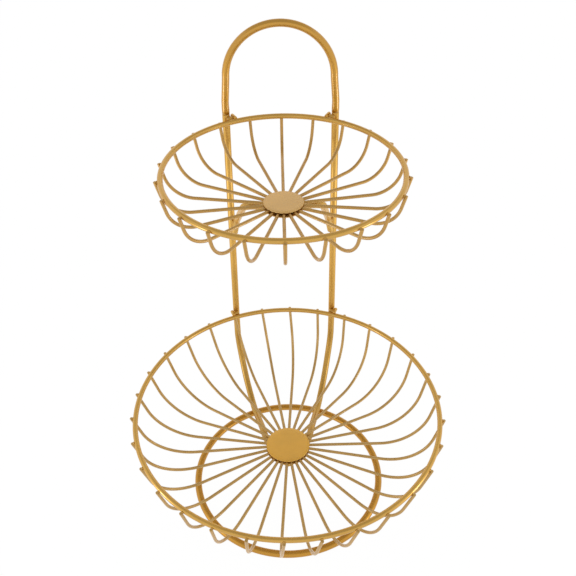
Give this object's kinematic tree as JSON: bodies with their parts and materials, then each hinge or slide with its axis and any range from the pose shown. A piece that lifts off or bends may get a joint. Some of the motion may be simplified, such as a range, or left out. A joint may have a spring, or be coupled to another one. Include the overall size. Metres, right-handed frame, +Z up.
{
  "type": "wire fruit basket",
  "caption": "Two-tier wire fruit basket: round bowls of bent wire ribs held in front of a bent rod frame, with a foot ring below and an arched carrying handle above.",
  "frame": {"origin": "on the table at the centre of the foot ring, which is within 2.2 mm of the middle of the whole basket's footprint", "axes": "+Z up, +X to the right of someone facing the front of the basket, +Y towards the posts at the back"},
  "size_m": [0.308, 0.3115, 0.4393],
  "materials": {
    "frame_gold": "satin gold lacquer",
    "rim_gold": "satin gold lacquer",
    "rib_gold": "satin gold lacquer",
    "hub_gold": "matt gold lacquer"
  },
  "bodies": {
    "root": {"foot_ring": "frame_gold", "frame_loop": "frame_gold", "handle_arch": "frame_gold", "upper_bracket": "frame_gold", "lower_rim": "rim_gold", "upper_rim": "rim_gold", "lower_hub": "hub_gold", "upper_hub": "hub_gold", "lower_rib_01": "rib_gold", "lower_rib_02": "rib_gold", "lower_rib_03": "rib_gold", "lower_rib_04": "rib_gold", "lower_rib_05": "rib_gold", "lower_rib_06": "rib_gold", "lower_rib_07": "rib_gold", "lower_rib_08": "rib_gold", "lower_rib_09": "rib_gold", "lower_rib_10": "rib_gold", "lower_rib_11": "rib_gold", "lower_rib_12": "rib_gold", "lower_rib_13": "rib_gold", "lower_rib_14": "rib_gold", "lower_rib_15": "rib_gold", "lower_rib_16": "rib_gold", "lower_rib_17": "rib_gold", "lower_rib_18": "rib_gold", "lower_rib_19": "rib_gold", "lower_rib_20": "rib_gold", "lower_rib_21": "rib_gold", "lower_rib_22": "rib_gold", "lower_rib_23": "rib_gold", "lower_rib_24": "rib_gold", "lower_rib_25": "rib_gold", "lower_rib_26": "rib_gold", "lower_rib_27": "rib_gold", "lower_rib_28": "rib_gold", "lower_rib_29": "rib_gold", "lower_rib_30": "rib_gold", "upper_rib_01": "rib_gold", "upper_rib_02": "rib_gold", "upper_rib_03": "rib_gold", "upper_rib_04": "rib_gold", "upper_rib_05": "rib_gold", "upper_rib_06": "rib_gold", "upper_rib_07": "rib_gold", "upper_rib_08": "rib_gold", "upper_rib_09": "rib_gold", "upper_rib_10": "rib_gold", "upper_rib_11": "rib_gold", "upper_rib_12": "rib_gold", "upper_rib_13": "rib_gold", "upper_rib_14": "rib_gold", "upper_rib_15": "rib_gold", "upper_rib_16": "rib_gold", "upper_rib_17": "rib_gold", "upper_rib_18": "rib_gold", "upper_rib_19": "rib_gold", "upper_rib_20": "rib_gold", "upper_rib_21": "rib_gold", "upper_rib_22": "rib_gold"}
  },
  "joints": []
}
